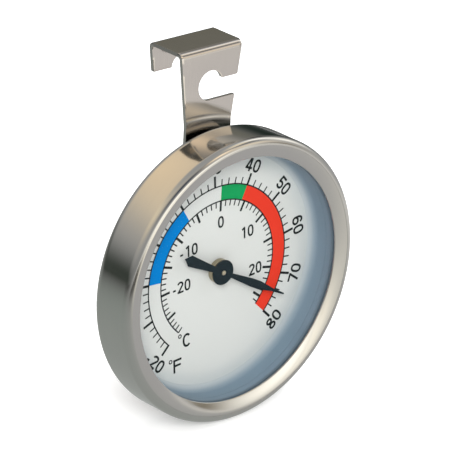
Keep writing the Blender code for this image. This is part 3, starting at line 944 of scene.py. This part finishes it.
class BuildPointer(ThermometerOperator, bpy.types.Operator):
    """Build the pointer's blade, the brass boss under it and the arbor's end."""

    bl_idname = "thermometer.build_pointer"
    bl_label = "Pointer"

    def execute(self, context):
        pointer = context.scene.thermometer_pointer
        self.blade(pointer)
        self.boss(pointer)
        return {"FINISHED"}

    def blade(self, pointer):
        """A section of eight corners carried along the pointer.

        Its half width is the greater of the arm's straight tapers and the hub's circle, and its edges are
        broken.
        """
        neck = 2.7 * MM
        tapers = [
            (-pointer.tail_point, 0.03 * MM),
            (-pointer.tail, 1.25 * MM),
            (-neck, 0.65 * MM),
            (0, 0.5 * MM),
            (neck, 0.5 * MM),
            (pointer.blade_inner, 0.93 * MM),
            (pointer.blade_outer, 0.93 * MM),
            (pointer.shoulder, 0.36 * MM),
            (pointer.tip, 0.17 * MM),
        ]
        reaches, halves = np.array(tapers).T
        hub = pointer.hub * np.cos(np.linspace(math.pi, 0, 64))
        steps = np.linspace(-pointer.tail_point, pointer.tip, 60)
        along = np.unique(np.concatenate([reaches, hub, steps]))
        round_part = np.sqrt(np.maximum(pointer.hub**2 - along**2, 0))
        half = np.maximum(np.interp(along, reaches, halves), round_part)
        back, front = span("pointer")
        cut = np.minimum(0.07 * MM, half * 0.5)
        low = np.full_like(along, back)
        high = np.full_like(along, front)
        side = np.stack([half - cut, half, half, half - cut], 1)
        rise = np.stack([low, low + cut, high - cut, high], 1)
        across = np.hstack([-side, side])
        height = np.hstack([rise, rise[:, ::-1]])
        way = np.broadcast_to(along[:, None], across.shape)
        c = math.cos(pointer.rest)
        s = math.sin(pointer.rest)
        x = way * s + across * c
        z = AXIS_HEIGHT + way * c - across * s
        points = np.stack([x, DIAL_FACE - height, z], -1).reshape(-1, 3)
        quads = grid_faces(len(along), 8, False, True)
        last = 8 * (len(along) - 1)
        ends = np.array([[0, 1, 2, 3], [0, 3, 4, 7], [4, 5, 6, 7]])
        quads = np.concatenate([quads, ends, last + ends[:, ::-1]])
        paint = grained("pointer_paint", 8.0, pointer.paint, 0.42, spread=0.2, bump=0.05, gloss=0.12)
        piece("pointer_blade", (points, quads), [paint], HINGE, ["pointer"])

    def boss(self, pointer):
        """The brass boss and the arbor's pin, both spun from a rounded outline."""
        bore = 0.7 * MM
        back, front = span("pointer_boss")
        rim = reach("pointer_boss")
        outline = [(bore, back, 0), (rim, back, 0.15 * MM), (rim, front, 0.25 * MM), (bore, front, 0)]
        brass = turned_metal("boss_brass", 6.0, 1.0, pointer.brass, 0.16, bump=0.05)
        shape = turned(rounded(outline), steps=96)
        piece("pointer_seat", shape, [brass], HINGE, ["pointer_boss"])

        back, front = span("arbor")
        rim = 0.55 * MM
        outline = [(0, back, 0), (rim, back, 0), (rim, front, 0.22 * MM), (0, front, 0)]
        pin = turned_metal("arbor_steel", 8.0, 1.0, (0.68, 0.6, 0.46), 0.3, bump=0.06)
        shape = turned(rounded(outline), closed=False, steps=64)
        piece("arbor_pin", shape, [pin], HINGE, ["arbor"])


class BuildStrap(ThermometerOperator, bpy.types.Operator):
    """Build the bent strap: lip, hook, back and foot, with the side-open hole and the notch."""

    bl_idname = "thermometer.build_strap"
    bl_label = "Hanger strap"

    def execute(self, context):
        strap = context.scene.thermometer_strap
        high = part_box("hanger_strap")[1]
        depth, height, lip_rows = self.path(strap, high)
        shape = self.sheet(strap, depth, height, lip_rows, high)
        steel = drawn_metal(
            "strap_steel", 4.0, strap.steel, strap.polish, spread=0.06, rough_spread=0.03, bump=0.025
        )
        made = piece(
            "hanger", shape, [steel], FIXED, ["hanger_strap"], outward=False, sharp=180
        )
        wall = made.modifiers.new("sheet", "SOLIDIFY")
        wall.thickness = strap.sheet
        wall.offset = -1
        wall.use_even_offset = True
        edge = made.modifiers.new("edge", "BEVEL")
        edge.width = 0.09 * MM
        edge.segments = 2
        edge.limit_method = "ANGLE"
        edge.angle_limit = math.radians(50)
        flat = made.modifiers.new("flat", "WEIGHTED_NORMAL")
        flat.keep_sharp = True
        return {"FINISHED"}

    def path(self, strap, high):
        """The strap's outer line in depth and height: up the lip, over the hook, down the back to the foot.

        The bends are quarter circles. The straight rows crowd towards the hole's and the notch's ends, where
        the cut's edge turns fastest, as a cosine does.
        """
        bend = strap.bend
        case_gap = 0.3 * MM
        foot_reach = 8.1 * MM
        front = CASE_HIGH.y + case_gap
        quarter = np.linspace(0, math.pi / 2, 13)
        lip_end = high.z - strap.lip
        notch = lip_end + strap.notch * np.sin(np.linspace(0, math.pi / 2, 14))
        lip = np.concatenate([[lip_end], lip_end + strap.tip_round * np.linspace(0.1, 1, 6), notch])
        lip = np.unique(np.concatenate([lip, np.linspace(notch[-1], high.z - bend, 4)]))
        middle = high.z - strap.hole_drop
        ease = (1 - np.cos(np.linspace(0, math.pi, 33))) / 2
        top = middle + strap.hole
        mouth = middle + strap.mouth - strap.hole
        foot = middle - strap.hole
        rows = [
            np.linspace(high.z - bend, top, 5),
            mouth + (top - mouth) * ease[::-1],
            mouth + strap.tip_round * np.linspace(1, 0, 7),
            foot + (mouth - foot) * ease[::-1],
            foot - strap.tip_round * np.linspace(0, 1, 7),
            np.linspace(foot - strap.tip_round, 2 * AXIS_HEIGHT, 6),
            np.linspace(2 * AXIS_HEIGHT, bend, 24),
        ]
        rows = np.unique(np.round(np.concatenate(rows), 8))[::-1]
        depth = np.concatenate(
            [
                np.full(len(lip), high.y),
                (high.y - bend) + bend * np.cos(quarter[1:]),
                (front + bend) - bend * np.sin(quarter),
                np.full(len(rows) - 1, front),
                (front + bend) - bend * np.cos(quarter[1:]),
                np.linspace(front + bend, front + foot_reach, 6)[1:],
            ]
        )
        height = np.concatenate(
            [
                lip,
                (high.z - bend) + bend * np.sin(quarter[1:]),
                (high.z - bend) + bend * np.cos(quarter),
                rows[1:],
                bend - bend * np.sin(quarter[1:]),
                np.zeros(5),
            ]
        )
        return depth, height, len(lip)

    def sheet(self, strap, depth, height, lip_rows, high):
        """Two half sheets from the strap's edges in to its middle line, or to the hole's or notch's edge.

        A cut's half width is the square root of its radius squared less the height over its middle squared.
        The cut corners are rounded by pulling an edge in by a quarter circle's sagitta.
        """
        near = 1e-7
        bend_rows = 20
        share_up = np.maximum((height - 2 * AXIS_HEIGHT) / (high.z - 2 * AXIS_HEIGHT), 0)
        half = (strap.low_width + (strap.top_width - strap.low_width) * share_up) / 2
        row = np.arange(len(height))
        on_lip = row < lip_rows
        on_front = (row > lip_rows + bend_rows) & (depth < depth.min() + near)
        lip_end = high.z - strap.lip
        middle = high.z - strap.hole_drop
        mouth = middle + strap.mouth - strap.hole
        foot = middle - strap.hole

        def pulled(distance, radius):
            gap = np.clip(radius - distance, 0, radius)
            return np.where(distance < -1e-9, 0.0, radius - np.sqrt(np.maximum(radius**2 - gap**2, 0)))

        notch = np.where(on_lip, np.sqrt(np.maximum(strap.notch**2 - (height - lip_end) ** 2, 0)), 0)
        hole = np.where(on_front, np.sqrt(np.maximum(strap.hole**2 - (height - middle) ** 2, 0)), 0)
        inner = notch + hole
        corner = np.where(on_lip, pulled(height - lip_end, strap.tip_round), 0)
        upper = np.where(on_front & (height > mouth - near), pulled(height - mouth, strap.tip_round), 0)
        lower = np.where(on_front & (height < foot + near), pulled(foot - height, strap.tip_round), 0)
        u = np.linspace(0, 1, 13)
        left = -(half - corner)[:, None] + (half - corner - inner)[:, None] * u
        right_in = (inner + upper)[:, None]
        right = right_in + ((half - corner - upper - lower)[:, None] - right_in) * u

        def grid(across, keep):
            columns = [across[keep], np.broadcast_to(depth[keep, None], across[keep].shape)]
            columns.append(np.broadcast_to(height[keep, None], across[keep].shape))
            return np.stack(columns, -1).reshape(-1, 3), grid_faces(int(keep.sum()), len(u))

        before = ~on_front | (height > mouth - near)
        before &= row < np.argmax(on_front & (height < mouth - near))
        after = row >= np.argmax(on_front & (height < foot + near))
        return joined([grid(left, row >= 0), grid(right, before), grid(right, after)])


class BuildRivets(ThermometerOperator, bpy.types.Operator):
    """Build the two rivets that join strap, case and movement plate, with low domed heads."""

    bl_idname = "thermometer.build_rivets"
    bl_label = "Rivets"

    def execute(self, context):
        steel = grained("rivet_steel", 5.0, (0.62, 0.6, 0.57), 0.3, metallic=1.0, spread=0.06, bump=0.08)
        for node in ("upper_rivet", "lower_rivet"):
            low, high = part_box(node)
            back, front = span(node)
            head = (high.x - low.x) / 2
            rise = 0.7 * MM
            shank = 1.2 * MM
            angle = np.linspace(0, math.pi / 2, 14)
            dome = np.stack([head * np.sin(angle), rise * (1 - np.cos(angle))], 1)
            outer = dome + [0, back]
            inner = dome[::-1] * [1, -1] + [0, front]
            neck = np.array([[shank, back + rise], [shank, front - rise]])
            outline = np.concatenate([outer, neck, inner])
            middle = (0.0, (low.z + high.z) / 2)
            shape = turned(outline, closed=False, steps=72, middle=middle)
            piece(node + "_head", shape, [steel], FIXED, [node])
        return {"FINISHED"}


class BuildMovement(ThermometerOperator, bpy.types.Operator):
    """Give the pieces inside the case their finishes. Their CAD shapes stay as they are."""

    bl_idname = "thermometer.build_movement"
    bl_label = "Movement"

    def execute(self, context):
        brass = context.scene.thermometer_pointer.brass
        turned_brass = turned_metal("movement_brass", 6.0, 1.0, brass, 0.32, bump=0.08)
        rolled = drawn_metal("movement_steel", 5.0, (0.5, 0.5, 0.5), 0.38)
        strip = turned_metal("coil_strip", 7.0, 0.5, (0.5, 0.42, 0.34), 0.35, spread=0.15)
        moulded = grained("support_plastic", 5.0, (0.05, 0.05, 0.052), 0.5, spread=0.2)
        finishes = {
            "dial_bush": turned_brass,
            "rear_bush": turned_brass,
            "coil_collet": turned_brass,
            "coil_anchor_post": turned_brass,
            "coil_end_screw": rolled,
            "movement_plate": rolled,
            "bimetal_coil": strip,
            "support_ring": moulded,
        }
        for node, finish in finishes.items():
            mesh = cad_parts[node].data
            mesh.materials.clear()
            mesh.materials.append(finish)
        return {"FINISHED"}


# Stage

MIRRORED_REACH = 0.7


def stage_mesh(name, points, quads, material):
    """A stage object: not part of the thermometer."""
    mesh = bpy.data.meshes.new(name)
    mesh.from_pydata(points.tolist(), [], quads.tolist())
    mesh.materials.append(material)
    made = bpy.data.objects.new(name, mesh)
    bpy.context.scene.collection.objects.link(made)
    return made


def mirror_only(made, glow):
    """Let only reflections see a stage object, and give its points the colours that they see there."""
    layer = made.data.attributes.new("glow", "FLOAT_COLOR", "POINT")
    layer.data.foreach_set("color", np.hstack([glow, np.ones((len(glow), 1))]).astype(np.float32).ravel())
    made.data.shade_smooth()
    for kind in ("camera", "diffuse", "transmission", "volume_scatter", "shadow"):
        setattr(made, "visible_" + kind, False)


def glow_material(name):
    """Light of the colour that the object's points carry."""
    material = bpy.data.materials.new(name)
    material.use_nodes = True
    tree = material.node_tree
    tree.nodes.remove(tree.nodes["Principled BSDF"])
    carried = add(tree, "Attribute", attribute_name="glow")
    light = add(tree, "Emission", {"Color": carried.outputs["Color"], "Strength": 1.0})
    tree.links.new(light.outputs[0], tree.nodes["Material Output"].inputs["Surface"])
    return material


def seen_ray(tree):
    """1 for rays from the camera and for mirrored or bent ones, else 0."""
    path = add(tree, "LightPath").outputs
    first = maths(tree, "MAXIMUM", path["Is Camera Ray"], path["Is Glossy Ray"])
    return maths(tree, "MAXIMUM", first, path["Is Transmission Ray"])


class BuildStage(ThermometerOperator, bpy.types.Operator):
    """Set the camera, the pale floor, the soft lamps, and the dome and table that the metal mirrors."""

    bl_idname = "thermometer.build_stage"
    bl_label = "Stage"

    def execute(self, context):
        stage = context.scene.thermometer_stage
        context.scene.view_settings.view_transform = "Standard"
        self.camera(context, stage)
        self.world(context)
        self.floor(stage)
        self.lamps(context)
        self.dome()
        self.table()
        return {"FINISHED"}

    def camera(self, context, stage):
        """Yaw about Z, then pitch and roll about the camera's own axes, then a move back along its sight."""
        def plane(angle, first, second):
            made = np.eye(3)
            made[first, first] = made[second, second] = math.cos(angle)
            made[first, second] = -math.sin(angle)
            made[second, first] = math.sin(angle)
            return made

        stand = np.array([[1, 0, 0], [0, 0, -1], [0, 1, 0]], float)
        look = plane(stage.roll, 0, 1) @ plane(stage.pitch, 1, 2) @ stand @ plane(stage.yaw, 0, 1)
        place = np.array([0, DIAL_FACE, AXIS_HEIGHT]) - look.T @ [stage.across, stage.down, stage.distance]
        data = bpy.data.cameras.new("camera")
        data.lens = stage.lens
        data.sensor_width = 36.0
        data.clip_start = 0.01
        data.clip_end = 20.0
        made = bpy.data.objects.new("camera", data)
        matrix = np.eye(4)
        matrix[:3, :3] = look.T @ np.diag([1, -1, -1])
        matrix[:3, 3] = place
        made.matrix_world = Matrix(matrix.tolist())
        context.scene.collection.objects.link(made)
        context.scene.camera = made

    def world(self, context):
        """White where it is seen, and a softer even light elsewhere."""
        world = bpy.data.worlds.new("studio")
        context.scene.world = world
        world.use_nodes = True
        tree = world.node_tree
        light = tree.nodes["Background"]
        light.inputs["Color"].default_value = (0.98, 0.99, 1.0, 1)
        light.inputs["Strength"].default_value = 0.2
        white = add(tree, "Background", {"Color": (1, 1, 1, 1), "Strength": 1.0})
        mix = add(tree, "MixShader", {0: seen_ray(tree), 1: light.outputs[0], 2: white.outputs[0]})
        tree.links.new(mix.outputs[0], tree.nodes["World Output"].inputs["Surface"])

    def floor(self, stage):
        """A wide pale sheet that keeps the object's shadow.

        Where it is seen it has light of its own, which comes in away from the object's foot.
        """
        material, tree, shader, position = new_material("floor")
        shader.inputs["Roughness"].default_value = 0.9
        shader.inputs["Specular IOR Level"].default_value = 0.0
        shader.inputs["Base Color"].default_value = (*stage.floor, 1)
        under = (-2 * MM, 4 * MM, 0)
        away = vector(tree, "DISTANCE", position, under)
        limits = {"From Min": 8 * MM, "From Max": 30 * MM, "To Min": 0.15, "To Max": 0.8}
        own = add(tree, "MapRange", {"Value": away, **limits})
        shader.inputs["Emission Color"].default_value = (1, 1, 1, 1)
        glow = maths(tree, "MULTIPLY", seen_ray(tree), own.outputs[0])
        tree.links.new(glow, shader.inputs["Emission Strength"])
        side = np.linspace(-3, 3, 3)
        u, v = np.meshgrid(side, side, indexing="ij")
        points = np.stack([u, v, np.full_like(u, -0.1 * MM)], -1).reshape(-1, 3)
        stage_mesh("floor", points, grid_faces(*u.shape), material)

    def lamps(self, context):
        """Large soft lamps: (name, place, size, power, colour), each turned to the case's middle."""
        lamps = [
            ("key", (-0.65, -0.7, 0.6), 0.5, 8.9, (1.0, 0.995, 0.98)),
            ("fill", (0.6, -0.5, 0.5), 0.6, 1.3, (0.98, 0.99, 1.0)),
            ("back", (-0.6, 0.45, 0.5), 0.6, 2.2, (1.0, 1.0, 1.0)),
            ("top", (0.0, 0.02, 0.85), 0.6, 2.4, (1.0, 0.99, 0.97)),
        ]
        for name, place, size, power, tint in lamps:
            data = bpy.data.lights.new(name, "AREA")
            data.shape = "DISK"
            data.size = size
            data.energy = power
            data.color = tint
            made = bpy.data.objects.new(name, data)
            back = np.array(place) - [0, 0, AXIS_HEIGHT]
            made.matrix_world = facing(place, back)
            made.visible_glossy = False
            context.scene.collection.objects.link(made)

    def dome(self):
        """What the metal mirrors above the floor: a half sphere with soft patches of light and shade."""
        angle = np.radians(np.linspace(-180, 180, 145))
        rise = np.radians(np.linspace(-2, 90, 47))
        a, e = np.meshgrid(angle, rise, indexing="ij")
        way = np.stack([np.sin(a) * np.cos(e), np.cos(a) * np.cos(e), np.sin(e)], -1).reshape(-1, 3)
        glow = dome_glow(np.degrees(a).ravel(), np.degrees(e).ravel())
        made = stage_mesh("dome", way * MIRRORED_REACH, grid_faces(*a.shape), glow_material("dome_glow"))
        mirror_only(made, glow)

    def table(self):
        """What the metal mirrors below: a disc just over the floor with soft patches of its own."""
        angle = np.radians(np.linspace(-180, 180, 145))
        out = MIRRORED_REACH * np.linspace(0.0, 1.0, 61) ** 2
        a, r = np.meshgrid(angle, out, indexing="ij")
        points = np.stack([r * np.sin(a), r * np.cos(a), np.full_like(a, 0.02 * MM)], -1).reshape(-1, 3)
        made = stage_mesh("table", points, grid_faces(*a.shape), glow_material("table_glow"))
        mirror_only(made, table_glow(points))


def facing(place, back):
    """A matrix at a place whose Z points along back."""
    z = np.asarray(back, float) / np.linalg.norm(back)
    x = np.cross([0, 0, 1], z)
    x = x / np.linalg.norm(x)
    matrix = np.eye(4)
    matrix[:3, :3] = np.stack([x, np.cross(z, x), z], 1)
    matrix[:3, 3] = place
    return Matrix(matrix.tolist())


def painted(base, patches, weigh):
    """A base colour with soft patches laid over it in turn, each by its own weight from 0 to 1."""
    glow = np.array(base, float)
    for place, tint in patches:
        glow = glow + (np.array(tint) - glow) * weigh(*place)[:, None]
    return glow


def dome_glow(azimuth, rise):
    """Colours over the dome: patches of (azimuth, rise, half width, half height) and a tint, in turn.

    Azimuth is 0 at the back and 90 at the right, and rise is the angle over the horizon.
    """
    def weigh(at, up, wide, high):
        gap = (azimuth - at + 180) % 360 - 180
        return np.exp(-((gap / wide) ** 2) - ((rise - up) / high) ** 2)

    patches = [
        ((-80, 48, 80, 18), (1.0, 0.86, 0.64)),
        ((-2, 46, 38, 14), (1.1, 0.87, 0.6)),
        ((-60, 2, 80, 12), (0.05, 0.06, 0.05)),
        ((100, 27, 13, 13), (1.6, 1.55, 1.45)),
        ((97, 48, 11, 13), (1.8, 1.75, 1.65)),
        ((60, 37, 12, 14), (0.05, 0.05, 0.045)),
        ((50, 10, 23, 20), (0.015, 0.025, 0.02)),
        ((41, 25, 8, 5.5), (0.19, 0.185, 0.15)),
        ((182, 36, 26, 13), (0.05, 0.065, 0.1)),
        ((128, 44, 12, 6), (0.08, 0.095, 0.13)),
        ((120, 57, 14, 8), (1.3, 1.1, 0.8)),
        ((122, 0, 18, 12), (0.55, 0.54, 0.52)),
        ((138, 23, 14, 11), (1.15, 1.0, 0.8)),
        ((153, 39, 10, 8), (1.8, 1.45, 1.05)),
        ((161, 4, 24, 9), (1.9, 1.82, 1.66)),
        ((131, 1, 9, 10), (0.28, 0.24, 0.18)),
    ]
    return painted(np.full((len(azimuth), 3), 0.45), patches, weigh)


def table_glow(points):
    """Colours over the table: patches of (x, y, half width) and a tint, laid on in turn."""
    x, y, _ = points.T

    def weigh(at_x, at_y, wide):
        return np.exp(-((x - at_x) ** 2 + (y - at_y) ** 2) / wide**2)

    patches = [
        ((-0.12, 0.05, 0.15), (0.6, 0.65, 0.62)),
        ((-0.45, 0.42, 0.55), (0.05, 0.06, 0.05)),
        ((-0.6, -0.1, 0.35), (0.07, 0.07, 0.065)),
        ((0.16, -0.03, 0.1), (0.78, 0.77, 0.75)),
        ((0.15, -0.55, 0.26), (1.8, 1.72, 1.55)),
        ((0.06, -0.23, 0.08), (1.75, 1.66, 1.45)),
        ((0.055, -0.15, 0.055), (1.7, 1.6, 1.4)),
        ((0.135, -0.14, 0.04), (0.78, 0.75, 0.73)),
        ((0.05, -0.04, 0.035), (0.54, 0.53, 0.53)),
        ((-0.1, -0.18, 0.06), (0.08, 0.075, 0.07)),
        ((-0.06, -0.28, 0.07), (0.03, 0.026, 0.02)),
        ((-0.018, -0.165, 0.05), (0.03, 0.026, 0.02)),
        ((0.27, 0.27, 0.15), (0.05, 0.055, 0.05)),
    ]
    return painted(np.full((len(x), 3), 0.5), patches, weigh)


class ThermometerPanel(bpy.types.Panel):
    """Lists the operators and the settings in the 3D view's sidebar."""

    bl_idname = "VIEW3D_PT_thermometer"
    bl_label = "Dial thermometer"
    bl_space_type = "VIEW_3D"
    bl_region_type = "UI"
    bl_category = "Thermometer"

    def draw(self, context):
        for operator in OPERATORS:
            self.layout.operator(operator.bl_idname)
        for name, group in SETTINGS.items():
            box = self.layout.box()
            settings = getattr(context.scene, name)
            for prop in group.__annotations__:
                box.prop(settings, prop)


SETTINGS = {
    "thermometer_case": CaseSettings,
    "thermometer_dial": DialSettings,
    "thermometer_pointer": PointerSettings,
    "thermometer_strap": StrapSettings,
    "thermometer_stage": StageSettings,
}
OPERATORS = (
    BuildStage,
    BuildFinishes,
    BuildCase,
    BuildBezel,
    BuildWindow,
    BuildDial,
    BuildScale,
    BuildPointer,
    BuildStrap,
    BuildRivets,
    BuildMovement,
)


def register():
    for group in SETTINGS.values():
        bpy.utils.register_class(group)
    for operator in OPERATORS:
        bpy.utils.register_class(operator)
    bpy.utils.register_class(ThermometerPanel)
    for name, group in SETTINGS.items():
        setattr(bpy.types.Scene, name, bpy.props.PointerProperty(type=group))


def unregister():
    for name in SETTINGS:
        delattr(bpy.types.Scene, name)
    bpy.utils.unregister_class(ThermometerPanel)
    for operator in reversed(OPERATORS):
        bpy.utils.unregister_class(operator)
    for group in reversed(SETTINGS.values()):
        bpy.utils.unregister_class(group)


def main():
    register()
    bpy.ops.thermometer.build_stage()
    bpy.ops.thermometer.build_finishes()
    bpy.ops.thermometer.build_case()
    bpy.ops.thermometer.build_bezel()
    bpy.ops.thermometer.build_window()
    bpy.ops.thermometer.build_dial()
    bpy.ops.thermometer.build_scale()
    bpy.ops.thermometer.build_pointer()
    bpy.ops.thermometer.build_strap()
    bpy.ops.thermometer.build_rivets()
    bpy.ops.thermometer.build_movement()


if __name__ == "__main__":
    main()
